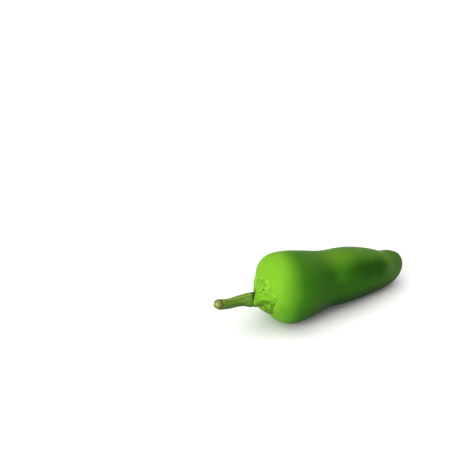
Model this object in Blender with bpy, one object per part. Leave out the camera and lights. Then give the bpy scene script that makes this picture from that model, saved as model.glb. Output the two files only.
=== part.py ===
"""A green chili pepper, as picked, lying on its side: the pod, the calyx on its shoulder and the stem.

Each piece is first shaped in the pod's own frame, in mm, with the pod's length along X, the stem at -X
and the tip at +X. An angle round the pod or the stem is measured from its top towards -Y.
The whole is then laid down, in metres, with Z up and the middle of its box over the origin.
"""

import math

import bmesh
import bpy
import numpy as np
from mathutils import Matrix, Vector

MM = 0.001

# The pod's half outline: distance along its middle from the stem end, and radius there
POD_OUTLINE = (
    (0.0, 0.0),
    (0.7, 4.6),
    (2.4, 8.0),
    (5.0, 11.2),
    (8.8, 14.0),
    (13.8, 15.2),
    (21.5, 14.3),
    (32.5, 12.2),
    (43.0, 11.9),
    (54.0, 10.5),
    (63.0, 8.7),
    (69.8, 6.7),
    (73.6, 3.7),
    (74.7, 0.0),
)
# How the pod's middle line bends: distance from the stem end, then its place sideways and upward
POD_BEND = (
    (0.0, 0.2, -0.3),
    (5.0, 0.0, 0.9),
    (11.0, 0.0, 1.3),
    (20.0, 0.1, 1.1),
    (36.0, 0.2, 1.0),
    (53.0, 0.1, 0.6),
    (63.0, 0.0, 0.1),
    (74.7, 0.2, 2.1),
)
POD_SEGMENTS = 48
POD_RING_SPACING = 2.2

# Three lobes run the length of the pod and fade out towards both ends
LOBES = 3
LOBE_HEIGHT = 0.018
LOBE_TURN = math.radians(40)
LOBE_FADE = 14.0

# Soft swellings and dents: distance from the stem end, angle round the pod, height, half length, half width
RELIEF = (
    (2.5, math.radians(-15), -0.7, 2.5, 4.0),
    (2.5, math.radians(155), 0.8, 3.0, 4.0),
    (3.0, math.radians(-75), -1.3, 3.0, 5.0),
    (5.0, math.radians(150), -0.8, 4.0, 8.0),
    (6.0, math.radians(-48), 0.3, 3.5, 6.0),
    (9.0, math.radians(-35), 0.7, 4.0, 8.0),
    (28.0, math.radians(-25), 0.4, 6.0, 6.0),
    (30.0, math.radians(60), -0.35, 6.0, 9.0),
    (31.5, math.radians(180), -0.5, 5.0, 9.0),
    (45.0, math.radians(25), 0.45, 6.0, 8.0),
    (47.0, math.radians(-95), -0.35, 6.0, 6.0),
    (66.0, math.radians(-10), -0.9, 3.0, 6.0),
    (74.7, math.radians(10), 1.2, 1.4, 4.0),
)

# The relief sinks away where the pod is thinner than this, so that both ends close round
RELIEF_RADIUS = 2.0

# The pod is flattened by this much where it lies, at the shoulder and at the tip
FLAT_DEPTH = 0.3

# The clear space that two pieces keep where they touch
GAP = 0.3

# The calyx's reach over the pod's skin to its edge
CALYX_REACH = 8.2
# Its corners: angle, how much further each one reaches, and the height of the ridge that runs out to it
CALYX_CORNERS = (
    (math.radians(20), 1.6, 0.35),
    (math.radians(76), 1.8, 0.65),
    (math.radians(160), 1.9, 1.0),
    (math.radians(232), 2.0, 0.5),
    (math.radians(305), 1.7, 0.25),
)
CALYX_CORNER_WIDTH = math.radians(22)
# Its outer face, from the flat that the stem grows from to the edge: share of the reach, height over the skin
CALYX_FACE = (
    (0.0, 2.9),
    (0.16, 2.85),
    (0.31, 2.75),
    (0.36, 2.45),
    (0.375, 2.0),
    (0.42, 1.1),
    (0.52, 0.6),
    (0.76, 0.4),
    (0.94, 0.35),
    (1.0, 0.15),
)
CALYX_RING_SPACING = 0.7
# The collar round the stem ends at this share of the reach, and the face below it spreads over the next share
COLLAR_SHARE = 0.36
COLLAR_SPREAD = 0.1
# The ridges sink away over this last share of the reach
CALYX_RIDGE_WIDTH = math.radians(14)
CALYX_RIDGE_END = 0.5
CALYX_SEGMENTS = 60

# The stem grows straight out of the collar's face: for each mm outward it leads this far to +Y and upward
STEM_ASIDE = 0.53
STEM_LIFT = 0.2

# The rings of the underside that lies against the pod
CALYX_UNDER_RINGS = 8

# The stem: distance from the calyx, and radius
STEM_OUTLINE = (
    (0.0, 2.9),
    (0.3, 3.1),
    (1.4, 2.95),
    (4.0, 2.4),
    (8.0, 2.15),
    (11.0, 2.1),
    (12.6, 2.2),
    (13.4, 2.2),
    (13.7, 1.9),
)
# How the stem's middle line bends: distance from the calyx, then its place towards -Y and upward
STEM_BEND = ((0.0, 0.0, 0.0), (1.5, 0.0, 0.0), (5.0, 0.8, 0.0), (9.5, 3.2, 0.3), (13.8, 5.9, 1.9))
# The cut end is a little domed, and slants up and towards -Y over this length of the stem
STEM_CUT_RISE = 0.3
STEM_CUT_SHOULDER = 0.2
STEM_CUT_SLANT = math.radians(26)
STEM_CUT_TURN = math.radians(60)
STEM_CUT_LENGTH = 4.0
STEM_RIBS = 5
STEM_RIB_HEIGHT = 0.04
STEM_SEGMENTS = 24
STEM_RING_SPACING = 1.2


def smooth_curve(places, values):
    """The values as a function of place, with no jump in slope or in bend: a natural cubic spline."""
    places = np.array(places, float)
    values = np.array(values, float)
    steps = np.diff(places)
    rises = np.diff(values, axis=0) / steps[:, None]
    matrix = np.eye(len(places))
    bends = np.zeros_like(values)
    for i in range(1, len(steps)):
        matrix[i, i - 1 : i + 2] = steps[i - 1], 2 * (steps[i - 1] + steps[i]), steps[i]
        bends[i] = 6 * (rises[i] - rises[i - 1])
    bends = np.linalg.solve(matrix, bends)

    def at(place):
        i = int(np.clip(np.searchsorted(places, place) - 1, 0, len(steps) - 1))
        after = (place - places[i]) / steps[i]
        before = 1 - after
        sag = (before**3 - before) * bends[i] + (after**3 - after) * bends[i + 1]
        return before * values[i] + after * values[i + 1] + sag * steps[i] ** 2 / 6

    return at


def walked(outline):
    """How far along an outline each of its points lies."""
    strides = np.linalg.norm(np.diff(np.array(outline, float), axis=0), axis=1)
    return np.concatenate([[0.0], np.cumsum(strides)])


def spaced(places, spacing):
    """Every given place, with more between them, so that no two neighbours are further apart than spacing."""
    rings = [places[0]]
    for start, end in zip(places, places[1:]):
        rings += list(np.linspace(start, end, math.ceil((end - start) / spacing) + 1)[1:])
    return rings


def line_through(bend):
    """A piece's middle line, as a function of the distance along X."""
    return smooth_curve([point[0] for point in bend], bend)


def ease(t):
    """From 0 to 1 with no jump in slope."""
    t = min(max(t, 0.0), 1.0)
    return t * t * (3 - 2 * t)


def axes_on(line, along):
    """A point on a middle line, with the directions along it, to its side and upward from it."""
    step = 0.05
    point = Vector(line(along))
    forward = (Vector(line(along + step)) - point).normalized()
    side = Vector((0, 0, 1)).cross(forward).normalized()
    return point, forward, side, forward.cross(side)


def grown(name, segments, rings, place):
    """A closed body from a ball whose poles are the first and last ring: place gives each point of a ring
    from the ring and the angle round it."""
    bm = bmesh.new()
    bmesh.ops.create_uvsphere(bm, u_segments=segments, v_segments=len(rings) - 1, radius=1)
    for vert in bm.verts:
        share = math.acos(max(-1.0, min(1.0, vert.co.z))) / math.pi
        vert.co = place(rings[round(share * (len(rings) - 1))], math.atan2(vert.co.y, vert.co.x))
    bm.normal_update()
    bmesh.ops.recalc_face_normals(bm, faces=bm.faces)
    mesh = bpy.data.meshes.new(name)
    bm.to_mesh(mesh)
    bm.free()
    mesh.shade_smooth()
    piece = bpy.data.objects.new(name, mesh)
    bpy.context.collection.objects.link(piece)
    return piece


# The pod's outline is carried past both ends by its mirror image, so that it closes round and not pointed
MIRRORED = 4
POD_HALF = np.array(POD_OUTLINE)
BEFORE = POD_HALF[MIRRORED:0:-1] * (1, -1)
AFTER = POD_HALF[-2 : -2 - MIRRORED : -1] * (1, -1)
POD_LOOP = np.vstack([BEFORE, POD_HALF, AFTER])
POD_WALKS = walked(POD_LOOP) - walked(POD_LOOP)[MIRRORED]
pod_outline = smooth_curve(POD_WALKS, POD_LOOP)
pod_line = line_through(POD_BEND)
POD_LENGTH = POD_OUTLINE[-1][0]


def pod_relief(along, radius, angle):
    """How far the pod's skin stands out from its round outline."""
    fade = ease(along / LOBE_FADE) * ease((POD_LENGTH - along) / LOBE_FADE)
    height = radius * LOBE_HEIGHT * fade * math.cos(LOBES * (angle - LOBE_TURN))
    for place, turn, rise, half_length, half_width in RELIEF:
        off = math.remainder(angle - turn, 2 * math.pi) * radius
        height += rise * math.exp(-(((along - place) / half_length) ** 2) - (off / half_width) ** 2)
    return height


def pod_point(walk, angle):
    """The pod's skin at a distance walked over it from the stem end, at an angle round it."""
    along, radius = pod_outline(walk)
    middle, _, side, up = axes_on(pod_line, along)
    reach = radius + pod_relief(along, radius, angle) * ease(radius / RELIEF_RADIUS)
    return middle + (up * math.cos(angle) - side * math.sin(angle)) * reach


def pod_normal(walk, angle):
    """The direction out of the pod's skin."""
    reach, turn = 0.05, 0.01
    lengthways = pod_point(walk + reach, angle) - pod_point(walk - reach, angle)
    crossways = pod_point(walk, angle + turn) - pod_point(walk, angle - turn)
    return crossways.cross(lengthways).normalized()


def make_pod():
    rings = spaced(POD_WALKS[MIRRORED:-MIRRORED], POD_RING_SPACING)
    return grown("pod", POD_SEGMENTS, rings, pod_point)


def calyx_point(ring, angle):
    """A point of the calyx: lifted along the stem near the middle, and straight off the skin further out."""
    share, height = ring
    reach = CALYX_REACH
    ridge = 0.0
    for corner, further, rise in CALYX_CORNERS:
        off = math.remainder(angle - corner, 2 * math.pi)
        reach += further * ease(share) * math.exp(-((off / CALYX_CORNER_WIDTH) ** 2))
        ridge += rise * math.exp(-((off / CALYX_RIDGE_WIDTH) ** 2))
    walk = share * reach
    spread = ease((share - COLLAR_SHARE) / COLLAR_SPREAD)
    if height > 0:
        slope = walk / CALYX_FACE[0][1] * (STEM_ASIDE * math.sin(angle) - STEM_LIFT * math.cos(angle))
        height *= 1 + slope * (1 - spread)
        height += ridge * spread * ease((1 - share) / CALYX_RIDGE_END)
    normal = pod_normal(max(walk, 0.1), angle)
    stemwards = -axes_on(pod_line, 0.0)[1]
    lift = stemwards.lerp(normal, ease((share - COLLAR_SHARE) / CALYX_RIDGE_END)).normalized()
    return pod_point(walk, angle) + normal * GAP + lift * height


def make_calyx():
    walks = walked(np.array(CALYX_FACE) * (CALYX_REACH, 1))
    face = smooth_curve(walks, CALYX_FACE)
    outer = [face(walk) for walk in spaced(walks, CALYX_RING_SPACING)]
    under = [(share, 0.0) for share in np.linspace(1.0, 0.0, CALYX_UNDER_RINGS)]
    return grown("calyx", CALYX_SEGMENTS, outer + under, calyx_point)


def make_stem():
    root, forward, side, up = axes_on(pod_line, 0.0)
    outward = (side * STEM_ASIDE + up * STEM_LIFT - forward).normalized()
    across = up.cross(outward).normalized()
    start = root - forward * (GAP + CALYX_FACE[0][1]) + outward * GAP
    turn = Matrix((outward, across, outward.cross(across))).transposed()
    line = line_through(STEM_BEND)
    length = STEM_OUTLINE[-1][0]
    walks = walked(STEM_OUTLINE)
    outline = smooth_curve(walks, STEM_OUTLINE)
    sides = [outline(walk) for walk in spaced(walks, STEM_RING_SPACING)]
    base = [(0.0, 0.0), (0.0, sides[0][1] / 2)]
    cut = [(length + STEM_CUT_SHOULDER, sides[-1][1] / 2), (length + STEM_CUT_RISE, 0.0)]
    rings = base + sides + cut

    def place(ring, angle):
        along, radius = ring
        radius *= 1 + STEM_RIB_HEIGHT * math.cos(STEM_RIBS * angle)
        slant = math.tan(STEM_CUT_SLANT) * ease(1 - (length - along) / STEM_CUT_LENGTH)
        middle, onward, across, above = axes_on(line, along)
        out = above * math.cos(angle) + across * math.sin(angle)
        sloped = -onward * slant * math.cos(angle - STEM_CUT_TURN)
        return start + turn @ (middle + (out + sloped) * radius)

    return grown("stem", STEM_SEGMENTS, rings, place)


def lay_down(pod, others):
    """Turn the whole until the shoulder and the tip both touch the surface, flatten them a little there,
    and put the middle of the whole over the origin."""
    pieces = [pod, *others]
    tilt = 0.0
    for _ in range(8):
        laid = [Matrix.Rotation(tilt, 3, "Y") @ vert.co for vert in pod.data.vertices]
        shoulder = min((p for p in laid if p.x < POD_LENGTH / 2), key=lambda p: p.z)
        tip = min((p for p in laid if p.x > POD_LENGTH / 2), key=lambda p: p.z)
        tilt += math.atan2(tip.z - shoulder.z, tip.x - shoulder.x)
    for piece in pieces:
        piece.data.transform(Matrix.Rotation(tilt, 4, "Y"))
    floor = min(vert.co.z for vert in pod.data.vertices) + FLAT_DEPTH
    for vert in pod.data.vertices:
        vert.co.z = max(vert.co.z, floor)
    points = np.array([vert.co for piece in pieces for vert in piece.data.vertices])
    middle = (points.min(axis=0) + points.max(axis=0)) / 2
    move = Matrix.Translation((-middle[0], -middle[1], -floor))
    for piece in pieces:
        piece.data.transform(Matrix.Scale(MM, 4) @ move)


def finish(piece, slot, colour, roughness):
    """Give a piece its own plain material."""
    material = bpy.data.materials.new(slot)
    material.use_nodes = True
    shader = material.node_tree.nodes["Principled BSDF"]
    shader.inputs["Base Color"].default_value = (*colour, 1.0)
    shader.inputs["Roughness"].default_value = roughness
    shader.inputs["Metallic"].default_value = 0.0
    piece.data.materials.append(material)


def main():
    for old in list(bpy.data.objects):
        bpy.data.objects.remove(old)
    pod, calyx, stem = make_pod(), make_calyx(), make_stem()
    lay_down(pod, [calyx, stem])
    finish(pod, "pod_skin", (0.09, 0.26, 0.02), 0.3)
    finish(calyx, "calyx_skin", (0.22, 0.48, 0.05), 0.55)
    finish(stem, "stem_skin", (0.16, 0.28, 0.04), 0.6)


main()
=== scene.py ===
"""A green chili pepper lying on its side, with its skins, its table, the light and the camera."""

import math

import bmesh
import bpy
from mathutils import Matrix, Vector, noise
from mathutils.bvhtree import BVHTree


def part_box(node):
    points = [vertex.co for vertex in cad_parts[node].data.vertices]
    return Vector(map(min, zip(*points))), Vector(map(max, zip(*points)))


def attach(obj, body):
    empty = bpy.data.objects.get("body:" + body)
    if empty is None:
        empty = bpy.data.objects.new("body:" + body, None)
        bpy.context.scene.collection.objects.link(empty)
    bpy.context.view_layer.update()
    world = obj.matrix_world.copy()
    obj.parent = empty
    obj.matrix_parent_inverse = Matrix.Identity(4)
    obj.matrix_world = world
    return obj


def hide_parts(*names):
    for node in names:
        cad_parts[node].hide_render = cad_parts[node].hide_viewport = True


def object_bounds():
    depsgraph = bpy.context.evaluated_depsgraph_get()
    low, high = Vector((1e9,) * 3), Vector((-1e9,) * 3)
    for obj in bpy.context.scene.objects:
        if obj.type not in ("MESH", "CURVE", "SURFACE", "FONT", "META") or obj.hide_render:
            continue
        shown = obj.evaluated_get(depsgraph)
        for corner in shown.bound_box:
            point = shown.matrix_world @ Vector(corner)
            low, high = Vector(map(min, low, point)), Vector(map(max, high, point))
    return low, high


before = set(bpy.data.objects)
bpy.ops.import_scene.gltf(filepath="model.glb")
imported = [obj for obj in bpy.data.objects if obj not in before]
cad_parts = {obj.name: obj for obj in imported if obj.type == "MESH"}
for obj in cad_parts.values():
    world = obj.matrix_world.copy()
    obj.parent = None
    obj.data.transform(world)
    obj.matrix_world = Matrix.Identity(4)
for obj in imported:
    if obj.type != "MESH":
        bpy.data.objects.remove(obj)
cad_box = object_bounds()


# The pod: a hollow fruit, grown in one piece, with a thin waxy skin drawn tight over three soft lobes.
# Its shoulder is the palest part and carries the calyx. It lies on its own flat spots, fixed to nothing.

MM = 0.001
POD_SUBDIVISIONS = 2
# The skin sinks a little here and there, except below the flat height, where the pod lies
DIMPLE_WIDTH = 7 * MM
DIMPLE_DEPTH = 0.16 * MM
FLAT_HEIGHT = 0.5 * MM
SHOULDER_LIME = 0x6AA021
EDGE_GREEN = 0x4D831A
BODY_GREEN = 0x336712
DEEP_GREEN = 0x27550B
TIP_GREEN = 0x3C6121
TOP_SHEEN_GREEN = 0x507E22
UNDER_SHADE_GREEN = 0x16330A
FLECK_GREEN = 0x5F9430
# The greens deepen this way, which is along the pod, and sooner on one flank and low down, where the earlier
# deepening is painted shade
DEEPENING = Vector((0.89, -0.42, -0.15))
GREENS_START = -27.8 * MM
GREENS_END = 38.2 * MM
# Soft blotches move the borders between the greens within a span of this much
BLOTCH_WIDTH = 15 * MM
BORDER_SHIFT = 8 * MM
# The painted sheen on the top is never the sheen green alone, and the paler flecks are only just there
TOP_SHEEN_MOST = 0.8
FLECK_MOST = 0.1
FLECK_WIDTH = 1.0 * MM
FLECK_STRETCH = (0.5, 1.0, 1.0)
# The pores are coarser than real ones, so that they show
PORE_WIDTH = 0.5 * MM
PORE_DEPTH = 0.03 * MM
# Where the wax lies thin the skin is this smooth, and where it lies thick the shine spreads more
THIN_WAX_ROUGHNESS = 0.4
THICK_WAX_ROUGHNESS = 0.52
# Places where the green differs: a fresh green and a lime one past the waist, both painted light on the
# second swelling's lit flank, a dark band of painted shade along the second swelling, and a pale crest of
# painted reflection round an olive tip. Each has a centre in mm, a radius in mm, a colour and the most of
# that colour.
GREEN_AND_PAINTED_LIGHT_PATCHES = (
    ((7.5, -9.5, 20.0), 7.0, 0x3D7715, 0.6),
    ((10.5, -2.5, 25.0), 10.0, 0x58841A, 0.9),
    ((17.5, -9.8, 19.0), 7.0, 0x163903, 0.6),
    ((22.5, -10.0, 16.8), 6.5, 0x163903, 0.6),
    ((29.5, -8.3, 16.0), 6.5, 0x1B3C03, 0.75),
    ((37.5, -3.5, 16.0), 5.0, 0x5A7A3C, 0.35),
    ((37.0, -7.0, 13.0), 5.0, 0x5A7A3C, 0.35),
    ((42.0, -2.0, 16.5), 8.0, 0x3A521C, 0.8),
)


def linear_colour(code):
    """An sRGB hex colour as the linear colour that a shader takes."""
    channels = []
    for shift in (16, 8, 0):
        value = (code >> shift & 255) / 255
        channels.append(value / 12.92 if value <= 0.04045 else ((value + 0.055) / 1.055) ** 2.4)
    return (*channels, 1.0)


def add_node(material, kind, inputs, stops=(), **settings):
    """Add a node: each input is linked to a socket or set to a value, and stops are a ramp's colours."""
    node = material.node_tree.nodes.new(kind)
    for name, value in settings.items():
        setattr(node, name, value)
    for name, value in inputs.items():
        if isinstance(value, bpy.types.NodeSocket):
            material.node_tree.links.new(value, node.inputs[name])
        else:
            node.inputs[name].default_value = value
    for number, (place, code) in enumerate(stops):
        ramp = node.color_ramp.elements
        stop = ramp[number] if number < 2 else ramp.new(place)
        stop.position = place
        stop.color = linear_colour(code)
    return node


def bare_material(name):
    """A material with its shader, and the place on the piece that its patterns read."""
    material = bpy.data.materials.new(name)
    material.use_nodes = True
    shader = material.node_tree.nodes["Principled BSDF"]
    place = add_node(material, "ShaderNodeTexCoord", {}).outputs["Object"]
    return material, shader, place


def merged_copy(node):
    """A CAD node's loose triangles, merged and joined back into four-sided faces."""
    weld = 0.001 * MM
    widest_bend = math.radians(60)
    bm = bmesh.new()
    bm.from_mesh(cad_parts[node].data)
    bmesh.ops.remove_doubles(bm, verts=bm.verts, dist=weld)
    bmesh.ops.join_triangles(
        bm, faces=bm.faces, angle_face_threshold=widest_bend, angle_shape_threshold=widest_bend
    )
    return bm


def smooth_piece(bm, name, materials, subdivisions):
    """The finished object of a bmesh, shaded smooth and subdivided."""
    mesh = bpy.data.meshes.new(name)
    bm.to_mesh(mesh)
    bm.free()
    mesh.shade_smooth()
    for material in materials:
        mesh.materials.append(material)
    piece = bpy.data.objects.new(name, mesh)
    bpy.context.collection.objects.link(piece)
    surface = piece.modifiers.new("Subdivision", "SUBSURF")
    surface.levels = subdivisions
    surface.render_levels = subdivisions
    return piece


# Fresh chili skin: a thin natural wax over green flesh. The wax spreads the light, so the skin has a soft
# wide sheen and no sharp highlight, and its green deepens away from the shoulder. Its colour also holds
# painted light: a sheen along the top, shade underneath and along the second swelling, and a reflection at
# the tip.
pod_skin, shader, place = bare_material("waxy chili skin")
along = add_node(
    pod_skin, "ShaderNodeVectorMath", {0: place, 1: DEEPENING}, operation="DOT_PRODUCT"
).outputs["Value"]
blotches = add_node(
    pod_skin,
    "ShaderNodeTexNoise",
    {"Vector": place, "Scale": 1 / BLOTCH_WIDTH, "Detail": 3.0, "Roughness": 0.5},
).outputs["Fac"]
shifted = add_node(
    pod_skin, "ShaderNodeMath", {0: blotches, 1: BORDER_SHIFT, 2: along}, operation="MULTIPLY_ADD"
).outputs[0]
share = add_node(
    pod_skin,
    "ShaderNodeMapRange",
    {
        "Value": shifted,
        "From Min": GREENS_START + BORDER_SHIFT / 2,
        "From Max": GREENS_END + BORDER_SHIFT / 2,
    },
).outputs["Result"]
length_green = add_node(
    pod_skin,
    "ShaderNodeValToRGB",
    {"Fac": share},
    stops=(
        (0.0, SHOULDER_LIME),
        (0.12, SHOULDER_LIME),
        (0.19, EDGE_GREEN),
        (0.26, BODY_GREEN),
        (0.42, DEEP_GREEN),
        (0.85, DEEP_GREEN),
        (1.0, TIP_GREEN),
    ),
).outputs["Color"]
# The flecks are drawn out along the pod
stretched = add_node(
    pod_skin, "ShaderNodeVectorMath", {0: place, 1: FLECK_STRETCH}, operation="MULTIPLY"
).outputs["Vector"]
flecks = add_node(
    pod_skin,
    "ShaderNodeTexNoise",
    {"Vector": stretched, "Scale": 1 / FLECK_WIDTH, "Detail": 2.0, "Roughness": 0.5},
).outputs["Fac"]
fleck_share = add_node(
    pod_skin, "ShaderNodeMapRange", {"Value": flecks, "From Min": 0.5, "From Max": 0.8, "To Max": FLECK_MOST}
).outputs["Result"]
# A colour mix takes its two colours at inputs 6 and 7 and gives the result at output 2
flecked = add_node(
    pod_skin,
    "ShaderNodeMix",
    {"Factor": fleck_share, 6: length_green, 7: linear_colour(FLECK_GREEN)},
    data_type="RGBA",
).outputs[2]
# Past the shoulder a painted sheen makes the pod paler along its top, and painted shade makes all of it
# darker underneath
facing = add_node(pod_skin, "ShaderNodeAttribute", {}, attribute_name="facing_up").outputs["Fac"]
past_shoulder = add_node(
    pod_skin, "ShaderNodeMapRange", {"Value": share, "From Min": 0.2, "From Max": 0.45}
).outputs["Result"]
on_top = add_node(
    pod_skin, "ShaderNodeMapRange", {"Value": facing, "From Min": 0.55, "From Max": 0.95, "To Max": TOP_SHEEN_MOST}
).outputs["Result"]
top_sheen_share = add_node(
    pod_skin, "ShaderNodeMath", {0: on_top, 1: past_shoulder}, operation="MULTIPLY"
).outputs[0]
top_sheen_painted = add_node(
    pod_skin,
    "ShaderNodeMix",
    {"Factor": top_sheen_share, 6: flecked, 7: linear_colour(TOP_SHEEN_GREEN)},
    data_type="RGBA",
).outputs[2]
beneath = add_node(
    pod_skin, "ShaderNodeMapRange", {"Value": facing, "From Min": -0.1, "From Max": -0.6}
).outputs["Result"]
# The painted shade on the shoulder is a fifth as strong as on the rest
shoulder_too = add_node(
    pod_skin, "ShaderNodeMath", {0: past_shoulder, 1: 0.8, 2: 0.2}, operation="MULTIPLY_ADD"
).outputs[0]
under_shade_share = add_node(
    pod_skin, "ShaderNodeMath", {0: beneath, 1: shoulder_too}, operation="MULTIPLY"
).outputs[0]
skin_green = add_node(
    pod_skin,
    "ShaderNodeMix",
    {"Factor": under_shade_share, 6: top_sheen_painted, 7: linear_colour(UNDER_SHADE_GREEN)},
    data_type="RGBA",
).outputs[2]
# Mix in the patches: the olive tip is the skin's own colour, the rest are painted light, shade and reflection
for centre, radius, colour, most in GREEN_AND_PAINTED_LIGHT_PATCHES:
    from_centre = add_node(
        pod_skin, "ShaderNodeVectorMath", {0: place, 1: Vector(centre) * MM}, operation="DISTANCE"
    ).outputs["Value"]
    ragged = add_node(
        pod_skin, "ShaderNodeMath", {0: blotches, 1: -BORDER_SHIFT, 2: from_centre}, operation="MULTIPLY_ADD"
    ).outputs[0]
    inside = add_node(
        pod_skin,
        "ShaderNodeMapRange",
        {
            "Value": ragged,
            "From Min": radius * MM - BORDER_SHIFT / 2,
            "From Max": -BORDER_SHIFT / 2,
            "To Max": most,
        },
        interpolation_type="SMOOTHSTEP",
    ).outputs["Result"]
    skin_green = add_node(
        pod_skin,
        "ShaderNodeMix",
        {"Factor": inside, 6: skin_green, 7: linear_colour(colour)},
        data_type="RGBA",
    ).outputs[2]
pod_skin.node_tree.links.new(skin_green, shader.inputs["Base Color"])
# The wax lies unevenly, so the sheen changes in soft patches
wax = add_node(
    pod_skin,
    "ShaderNodeMapRange",
    {
        "Value": blotches,
        "From Min": 0.3,
        "From Max": 0.7,
        "To Min": THIN_WAX_ROUGHNESS,
        "To Max": THICK_WAX_ROUGHNESS,
    },
).outputs["Result"]
pod_skin.node_tree.links.new(wax, shader.inputs["Roughness"])
shader.inputs["Specular IOR Level"].default_value = 0.03
pores = add_node(
    pod_skin, "ShaderNodeTexNoise", {"Vector": place, "Scale": 1 / PORE_WIDTH, "Detail": 2.0}
).outputs["Fac"]
pored = add_node(
    pod_skin, "ShaderNodeBump", {"Strength": 0.2, "Distance": PORE_DEPTH, "Height": pores}
).outputs["Normal"]
pod_skin.node_tree.links.new(pored, shader.inputs["Normal"])

bm = merged_copy("pod")
pod_surface = BVHTree.FromBMesh(bm)
facing_layer = bm.verts.layers.float.new("facing_up")
bm.normal_update()
for vert in bm.verts:
    vert[facing_layer] = vert.normal.z
    if vert.co.z > FLAT_HEIGHT:
        sunk = 0.5 + 0.5 * noise.noise(vert.co / DIMPLE_WIDTH)
        vert.co -= vert.normal * DIMPLE_DEPTH * sunk
pod = smooth_piece(bm, "chili_pod", [pod_skin], POD_SUBDIVISIONS)
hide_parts("pod")
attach(pod, "root")


# The calyx: the green cap that the flower leaves, a thin sheet grown onto the shoulder. It rises to a short
# collar round the stem. Ridges run from there to its five blunt corners, with folds and wrinkles between.

CALYX_SUBDIVISIONS = 1
# The mesh is split this many times before it takes its relief
RELIEF_SPLITS = 2
CALYX_GREEN = 0x63991C
CALYX_HIGHLIGHT_GREEN = 0x80B530
CALYX_SHADE_GREEN = 0x446E0F
CALYX_DRY = 0x5E601E
# The CAD keeps this space round the calyx, where the real one is grown to the pod and the stem. The sheet
# sinks through it, and a little into the skin.
GROWN_GAP = 0.3 * MM
CALYX_SINK = GROWN_GAP + 0.15 * MM
# Heights over the pod: the edge's outer face lies between the first two, the sheet's rim reaches up to the
# third, and the collar stands above the last
EDGE_LOW = 0.45 * MM
EDGE_HIGH = 0.7 * MM
RIM_HEIGHT = 1.0 * MM
COLLAR_HEIGHT = 1.8 * MM
# The relief starts at the edge's underside and is full from the second height up. It is calmer on the collar.
RELIEF_LOW = 0.32 * MM
RELIEF_HIGH = 0.62 * MM
COLLAR_CALM = 0.5
# Soft wrinkles run out from the stem
WRINKLE_DEPTH = 0.14 * MM
WRINKLES_ROUND = 6.5
WRINKLE_LENGTH = 2.5 * MM
# Sharper crests stand where the sheet is folded, outwards too, and where it is crumpled, any way
CREST_DEPTH = 0.11 * MM
CREST_TOP = 0.6
FOLD_DROP = 1.5
FOLDS_ROUND = 4.5
FOLD_LENGTH = 2.0 * MM
CRUMPLE_DROP = 1.3
CRUMPLE_WIDTH = 1.1 * MM
# The sheet has a painted highlight at its edge and where its rim faces up, and painted shade where it faces
# down. There its edge is dry too, and its collar partly so.
EDGE_HIGHLIGHT = 0.3
RIM_HIGHLIGHT = 0.2
BENEATH_SHADE = 1.3
COLLAR_DRY = 0.5
FACING_SOFTENINGS = 8
GRAIN_WIDTH = 0.5 * MM
GRAIN_DEPTH = 0.08 * MM


def share_between(value, low, high):
    """How far a value is on its way from low to high, from 0 to 1."""
    return min(max((value - low) / (high - low), 0.0), 1.0)


bm = merged_copy("calyx")
relief_light_layer = bm.verts.layers.float.new("relief_and_painted_light")
dry_layer = bm.verts.layers.float.new("dry")
beneath_layer = bm.verts.layers.float.new("beneath")
for _ in range(RELIEF_SPLITS):
    bmesh.ops.subdivide_edges(bm, edges=bm.edges, cuts=1, use_grid_fill=True)
bm.normal_update()
# How far each spot faces down, for the painted shade beneath, softened so that the facets of the mesh don't
# show in it
for vert in bm.verts:
    vert[beneath_layer] = max(-vert.normal.z, 0.0)
for _ in range(FACING_SOFTENINGS):
    means = [
        sum(edge.other_vert(vert)[beneath_layer] for edge in vert.link_edges) / len(vert.link_edges)
        for vert in bm.verts
    ]
    for vert, mean in zip(bm.verts, means):
        vert[beneath_layer] = mean
collar = [vert.co for vert in bm.verts if pod_surface.find_nearest(vert.co)[3] > COLLAR_HEIGHT]
collar_middle = sum(collar, Vector()) / len(collar)
for vert in bm.verts:
    _, skin_normal, _, height = pod_surface.find_nearest(vert.co)
    out = vert.co - collar_middle
    round_stem = Vector((0, out.y, out.z)).normalized()
    wrinkle = noise.noise(round_stem * WRINKLES_ROUND + Vector((out.length / WRINKLE_LENGTH, 0, 0)))
    fold = abs(noise.noise(round_stem * FOLDS_ROUND - Vector((out.length / FOLD_LENGTH, 0, 0))))
    crumple = abs(noise.noise(vert.co / CRUMPLE_WIDTH))
    crest = CREST_TOP - FOLD_DROP * fold - CRUMPLE_DROP * crumple
    on_collar = share_between(height, EDGE_HIGH, COLLAR_HEIGHT)
    lift = wrinkle * WRINKLE_DEPTH + crest * CREST_DEPTH
    lift *= share_between(height, RELIEF_LOW, RELIEF_HIGH) * (1 - COLLAR_CALM * on_collar)
    beneath = vert[beneath_layer]
    edge = 1 - share_between(height, EDGE_LOW, EDGE_HIGH)
    lit_rim = (1 - share_between(height, EDGE_HIGH, RIM_HEIGHT)) * max(vert.normal.z, 0.0)
    raised = lift / (WRINKLE_DEPTH + CREST_DEPTH)
    # This colour value is painted light: a highlight on crests, edge and lit rim, and shade in hollows and
    # beneath
    vert[relief_light_layer] = raised + EDGE_HIGHLIGHT * edge + RIM_HIGHLIGHT * lit_rim - BENEATH_SHADE * beneath
    vert[dry_layer] = max(edge, COLLAR_DRY * on_collar) * beneath
    vert.co += vert.normal * lift - skin_normal * (CALYX_SINK - GROWN_GAP * on_collar)

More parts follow.
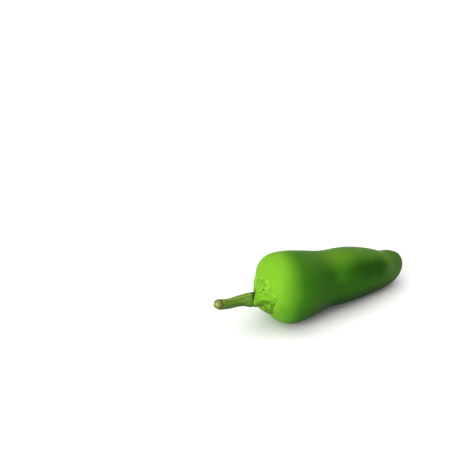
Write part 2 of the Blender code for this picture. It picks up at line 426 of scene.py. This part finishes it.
# Young plant tissue with a dull wax: light green, with a painted highlight on its crests, edge and lit rim
# and painted shade in its hollows and beneath, with an edge that starts to dry
calyx_skin, shader, place = bare_material("wrinkled calyx sheet")
relief_and_painted_light = add_node(calyx_skin, "ShaderNodeAttribute", {}, attribute_name="relief_and_painted_light").outputs["Fac"]
relief_light_share = add_node(
    calyx_skin, "ShaderNodeMapRange", {"Value": relief_and_painted_light, "From Min": -0.5, "From Max": 0.42}
).outputs["Result"]
calyx_colours = add_node(
    calyx_skin,
    "ShaderNodeValToRGB",
    {"Fac": relief_light_share},
    stops=((0.0, CALYX_SHADE_GREEN), (0.35, CALYX_GREEN), (0.65, CALYX_GREEN), (1.0, CALYX_HIGHLIGHT_GREEN)),
).outputs["Color"]
dry = add_node(calyx_skin, "ShaderNodeAttribute", {}, attribute_name="dry").outputs["Fac"]
edged = add_node(
    calyx_skin,
    "ShaderNodeMix",
    {"Factor": dry, 6: calyx_colours, 7: linear_colour(CALYX_DRY)},
    data_type="RGBA",
).outputs[2]
calyx_skin.node_tree.links.new(edged, shader.inputs["Base Color"])
shader.inputs["Roughness"].default_value = 0.5
shader.inputs["Specular IOR Level"].default_value = 0.05
# A fine grain lies over the wrinkles, coarser than the real one so that it shows
grain = add_node(
    calyx_skin, "ShaderNodeTexNoise", {"Vector": place, "Scale": 1 / GRAIN_WIDTH, "Detail": 2.0}
).outputs["Fac"]
grained = add_node(
    calyx_skin, "ShaderNodeBump", {"Strength": 0.4, "Distance": GRAIN_DEPTH, "Height": grain}
).outputs["Normal"]
calyx_skin.node_tree.links.new(grained, shader.inputs["Normal"])

calyx = smooth_piece(bm, "chili_calyx", [calyx_skin], CALYX_SUBDIVISIONS)
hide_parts("calyx")
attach(calyx, "root")


# The stem: a short curved stalk with soft ribs, grown out of the calyx and cut when the pepper was
# picked. The cut face has dried to tan inside a brown rim.

STEM_SUBDIVISIONS = 2
STEM_GREEN = 0x4C7019
STEM_SHADE = 0x374F12
STEM_PALE_AND_LIT = 0x6A882A
STEM_CREASE_SHADE = 0x2C3F0C
CUT_TAN = 0x666A32
CUT_MIDDLE = 0xA2A868
CUT_RIM = 0x3E3812
# The cut's faces are those that look nearly this way and lie within this reach of the stem's end
CUT_FACING = Vector((-0.77, -0.39, 0.5)).normalized()
CUT_LIKENESS = 0.9
CUT_REACH = 5 * MM
# The palest spot of the cut lies to one side of its middle, and this far from it the tan has turned brown
CUT_SPOT = Vector((0, 0.5, -0.3)) * MM
CUT_WIDTH = 2.6 * MM
# The stem's foot looks along the pod and lies this close to the collar's middle. It is drawn out by the
# stretch over its last length, so that it stands deep in the collar.
FOOT_LIKENESS = 0.5
FOOT_WIDTH = 4 * MM
FOOT_LENGTH = 1.2 * MM
FOOT_STRETCH = 2 * MM
# The painted shade in the crease at the collar, measured from the foot as it was
CREASE_START = -0.5 * MM
CREASE_END = 0.3 * MM
# The fibres are drawn out along the stem, because their pattern leaves out this share of the way along it.
# They and the grain of the pith are coarser than real ones, so that they show.
FIBRE_STRETCH = 0.93
FIBRE_WIDTH = 1.2 * MM
FIBRE_DEPTH = 0.2 * MM
TOP_PAINTED_LIGHT = 0.3
PITH_GRAIN_WIDTH = 0.9 * MM
PITH_GRAIN_SHARE = 0.3
PITH_GRAIN_DEPTH = 0.2 * MM

bm = merged_copy("stem")
rim_layer = bm.verts.layers.float.new("rim")
facing_layer = bm.verts.layers.float.new("facing_up")
bm.normal_update()
stem_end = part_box("stem")[0].x
foot_faces = [
    face for face in bm.faces
    if face.normal.x > FOOT_LIKENESS and (face.calc_center_median() - collar_middle).length < FOOT_WIDTH
]
foot_facing = sum((face.normal for face in foot_faces), Vector()).normalized()
foot_middle = sum((face.calc_center_median() for face in foot_faces), Vector()) / len(foot_faces)
cut_faces = [
    face for face in bm.faces
    if face.normal.dot(CUT_FACING) > CUT_LIKENESS and face.calc_center_median().x < stem_end + CUT_REACH
]
for face in cut_faces:
    face.material_index = 1
cut_centre = sum((face.calc_center_median() for face in cut_faces), Vector()) / len(cut_faces)
stem_line = (foot_middle - cut_centre).normalized()
# The rim is where the bark meets the cut
for vert in bm.verts:
    kinds = {face.material_index for face in vert.link_faces}
    vert[rim_layer] = 1.0 if len(kinds) == 2 else 0.0
    vert[facing_layer] = vert.normal.z
    from_foot = (foot_middle - vert.co).dot(foot_facing)
    if from_foot < FOOT_LENGTH:
        vert.co += foot_facing * FOOT_STRETCH * (1 - from_foot / FOOT_LENGTH)

# Green bark: dull, with soft ribs and fibres drawn out along the stem, so it looks streaked
stem_skin, shader, place = bare_material("ribbed stem bark")
along = add_node(
    stem_skin, "ShaderNodeVectorMath", {0: place, 1: stem_line}, operation="DOT_PRODUCT"
).outputs["Value"]
lengthways = add_node(
    stem_skin, "ShaderNodeVectorMath", {0: stem_line, "Scale": along}, operation="SCALE"
).outputs["Vector"]
drawn_out = add_node(
    stem_skin,
    "ShaderNodeVectorMath",
    {0: lengthways, 1: Vector((1, 1, 1)) * -FIBRE_STRETCH, 2: place},
    operation="MULTIPLY_ADD",
).outputs["Vector"]
fibres = add_node(
    stem_skin, "ShaderNodeTexNoise", {"Vector": drawn_out, "Scale": 1 / FIBRE_WIDTH, "Detail": 3.0}
).outputs["Fac"]
# Painted light makes the bark paler on its top, and painted shade darker underneath
facing = add_node(stem_skin, "ShaderNodeAttribute", {}, attribute_name="facing_up").outputs["Fac"]
shaded_fibres = add_node(
    stem_skin, "ShaderNodeMath", {0: facing, 1: TOP_PAINTED_LIGHT, 2: fibres}, operation="MULTIPLY_ADD"
).outputs[0]
stem_colours = add_node(
    stem_skin,
    "ShaderNodeValToRGB",
    {"Fac": shaded_fibres},
    stops=((0.3, STEM_SHADE), (0.62, STEM_GREEN), (0.95, STEM_PALE_AND_LIT)),
).outputs["Color"]
# Painted shade makes it darkest in the crease where it meets the collar
foot_depth = add_node(
    stem_skin, "ShaderNodeVectorMath", {0: place, 1: foot_facing}, operation="DOT_PRODUCT"
).outputs["Value"]
foot_plane = foot_middle.dot(foot_facing)
in_crease = add_node(
    stem_skin,
    "ShaderNodeMapRange",
    {"Value": foot_depth, "From Min": foot_plane + CREASE_START, "From Max": foot_plane + CREASE_END},
).outputs["Result"]
crease_shaded = add_node(
    stem_skin,
    "ShaderNodeMix",
    {"Factor": in_crease, 6: stem_colours, 7: linear_colour(STEM_CREASE_SHADE)},
    data_type="RGBA",
).outputs[2]
rim = add_node(stem_skin, "ShaderNodeAttribute", {}, attribute_name="rim").outputs["Fac"]
dried = add_node(
    stem_skin,
    "ShaderNodeMix",
    {"Factor": rim, 6: crease_shaded, 7: linear_colour(CUT_RIM)},
    data_type="RGBA",
).outputs[2]
stem_skin.node_tree.links.new(dried, shader.inputs["Base Color"])
shader.inputs["Roughness"].default_value = 0.5
shader.inputs["Specular IOR Level"].default_value = 0.15
ribbed = add_node(
    stem_skin, "ShaderNodeBump", {"Strength": 0.5, "Distance": FIBRE_DEPTH, "Height": fibres}
).outputs["Normal"]
stem_skin.node_tree.links.new(ribbed, shader.inputs["Normal"])

# The dried pith of the cut: a dry, fibrous face, tan in the middle and dark brown at the rim
cut_pith, shader, place = bare_material("dried cut pith")
pith_grain = add_node(
    cut_pith, "ShaderNodeTexNoise", {"Vector": place, "Scale": 1 / PITH_GRAIN_WIDTH, "Detail": 3.0}
).outputs["Fac"]
from_spot = add_node(
    cut_pith, "ShaderNodeVectorMath", {0: place, 1: cut_centre + CUT_SPOT}, operation="DISTANCE"
).outputs["Value"]
ring = add_node(
    cut_pith, "ShaderNodeMapRange", {"Value": from_spot, "From Max": CUT_WIDTH}
).outputs["Result"]
ring_share = add_node(
    cut_pith, "ShaderNodeMath", {0: pith_grain, 1: PITH_GRAIN_SHARE, 2: ring}, operation="MULTIPLY_ADD"
).outputs[0]
pith_colours = add_node(
    cut_pith,
    "ShaderNodeValToRGB",
    {"Fac": ring_share},
    stops=((0.2, CUT_MIDDLE), (0.55, CUT_TAN), (0.75, CUT_TAN), (1.0, CUT_RIM)),
).outputs["Color"]
cut_pith.node_tree.links.new(pith_colours, shader.inputs["Base Color"])
shader.inputs["Roughness"].default_value = 0.8
shader.inputs["Specular IOR Level"].default_value = 0.15
pith_relief = add_node(
    cut_pith, "ShaderNodeBump", {"Strength": 0.6, "Distance": PITH_GRAIN_DEPTH, "Height": pith_grain}
).outputs["Normal"]
cut_pith.node_tree.links.new(pith_relief, shader.inputs["Normal"])

stem = smooth_piece(bm, "chili_stem", [stem_skin, cut_pith], STEM_SUBDIVISIONS)
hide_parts("stem")
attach(stem, "root")


# The table: a wide round white top whose edge curves up into a low wall, so that even a low view ends on
# it. It isn't part of the pepper.

TABLE_WHITE = 0xF4F4F2
TABLE_RADIUS = 1.3
TABLE_SIDES = 96
COVE_RADIUS = 0.5
COVE_STEPS = 10

# Matt white paint: it scatters the light evenly, so the table shows no highlight
table_paint, shader, _ = bare_material("matt white table paint")
shader.inputs["Base Color"].default_value = linear_colour(TABLE_WHITE)
shader.inputs["Roughness"].default_value = 0.9
shader.inputs["Specular IOR Level"].default_value = 0.1
bm = bmesh.new()
bmesh.ops.create_circle(bm, cap_ends=True, segments=TABLE_SIDES, radius=TABLE_RADIUS)
rim = [edge for edge in bm.edges if edge.is_boundary]
for step in range(1, COVE_STEPS + 1):
    turn = math.radians(90) * step / COVE_STEPS
    raised = bmesh.ops.extrude_edge_only(bm, edges=rim)["geom"]
    rim = [item for item in raised if isinstance(item, bmesh.types.BMEdge)]
    for vert in (item for item in raised if isinstance(item, bmesh.types.BMVert)):
        outward = Vector((vert.co.x, vert.co.y, 0)).normalized()
        reach = TABLE_RADIUS + COVE_RADIUS * math.sin(turn)
        vert.co = outward * reach + Vector((0, 0, COVE_RADIUS * (1 - math.cos(turn))))
table = smooth_piece(bm, "table", [table_paint], 0)


# The light: a soft key from the left, a wide softbox overhead, and an even dim room. A lamp's place and
# size are in metres and its power is in watts.

KEY = {"place": (-0.80, -0.16, 0.20), "size": 0.60, "power": 8.5}
OVERHEAD = {"place": (0.0, 0.0, 1.1), "size": 1.6, "power": 13.0}
ROOM_LIGHT = 0.45

for name, box in (("key_softbox", KEY), ("overhead_softbox", OVERHEAD)):
    lamp = bpy.data.lights.new(name, "AREA")
    lamp.size = box["size"]
    lamp.energy = box["power"]
    light = bpy.data.objects.new(name, lamp)
    light.location = box["place"]
    light.rotation_euler = (-Vector(box["place"])).to_track_quat("-Z", "Y").to_euler()
    bpy.context.collection.objects.link(light)
room = bpy.data.worlds.new("dim studio")
room.use_nodes = True
room.node_tree.nodes["Background"].inputs["Color"].default_value = (1.0, 1.0, 1.0, 1.0)
room.node_tree.nodes["Background"].inputs["Strength"].default_value = ROOM_LIGHT
bpy.context.scene.world = room
bpy.context.scene.view_settings.view_transform = "Standard"


# The camera: front left and above, at the photograph's angle and framing. Its lens and sensor are in mm,
# and the place of the pepper's middle is in pixels from the picture's top left corner.

PICTURE = (450, 457)
PEPPER_AT = (312.5, 277.6)
CAMERA_TURN = math.radians(-33.5)
CAMERA_RISE = math.radians(28)
CAMERA_DISTANCE = 0.55
LENS = 104.0
SENSOR = 36.0

back = Vector((
    math.sin(CAMERA_TURN) * math.cos(CAMERA_RISE),
    -math.cos(CAMERA_TURN) * math.cos(CAMERA_RISE),
    math.sin(CAMERA_RISE),
))
right = Vector((math.cos(CAMERA_TURN), math.sin(CAMERA_TURN), 0))
up = back.cross(right)
pixel = CAMERA_DISTANCE * SENSOR / (max(PICTURE) * LENS)
middle = (Vector(cad_box[0]) + Vector(cad_box[1])) / 2
across = (PEPPER_AT[0] - PICTURE[0] / 2) * pixel
down = (PEPPER_AT[1] - PICTURE[1] / 2) * pixel
camera_lens = bpy.data.cameras.new("camera")
camera_lens.lens = LENS
camera_lens.sensor_width = SENSOR
camera = bpy.data.objects.new("camera", camera_lens)
camera.location = middle + back * CAMERA_DISTANCE - right * across + up * down
camera.rotation_euler = (-back).to_track_quat("-Z", "Y").to_euler()
bpy.context.collection.objects.link(camera)
bpy.context.scene.camera = camera
